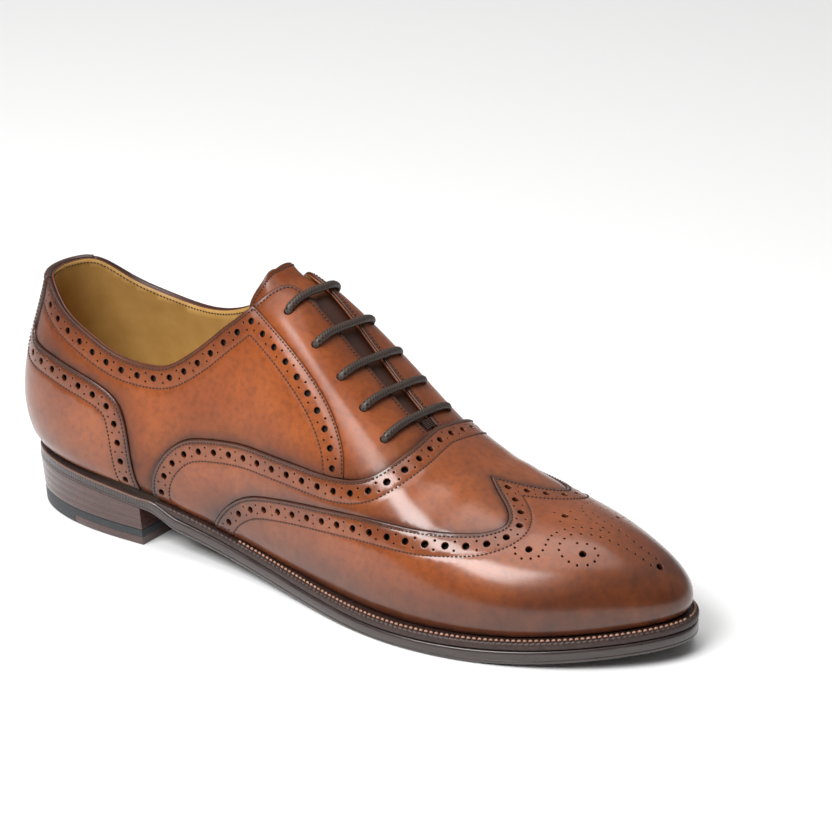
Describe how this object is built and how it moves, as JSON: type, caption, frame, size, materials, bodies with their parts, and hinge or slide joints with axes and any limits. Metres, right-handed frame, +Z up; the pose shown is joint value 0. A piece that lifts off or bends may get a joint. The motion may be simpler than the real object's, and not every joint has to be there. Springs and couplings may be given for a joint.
{
  "type": "brogue oxford shoe",
  "caption": "Right-foot leather oxford with a winged toe cap, pierced overlays, closed lacing, a welted leather sole and a stacked heel.",
  "frame": {"origin": "on the floor under the middle of the shoe's bounding box", "axes": "+X towards the toe, +Y towards the inner side of the foot, +Z up"},
  "size_m": [0.297, 0.0926, 0.1166],
  "materials": {
    "tan_leather": "glossy burnished calf, cognac tan",
    "dark_tan_leather": "glossy burnished calf, darker at toe and heel",
    "lining_leather": "natural yellow-tan lining leather, satin",
    "welt_leather": "dark reddish-brown waxed welt",
    "sole_leather": "dark brown waxed sole edge",
    "heel_rubber": "matte dark grey rubber",
    "lace_cotton": "round waxed dark-brown braid"
  },
  "bodies": {
    "root": {"outsole": "sole_leather", "welt": "welt_leather", "heel_stack": "sole_leather", "heel_rubber": "heel_rubber", "heel_leather_tip": "sole_leather", "insole": "lining_leather", "upper": "tan_leather", "heel_counter": "dark_tan_leather", "quarter_outer": "tan_leather", "quarter_inner": "tan_leather", "vamp": "tan_leather", "wing_cap": "dark_tan_leather", "tongue": "tan_leather", "lace_bar_1": "lace_cotton", "lace_bar_2": "lace_cotton", "lace_bar_3": "lace_cotton", "lace_bar_4": "lace_cotton", "lace_bar_5": "lace_cotton"}
  },
  "joints": []
}
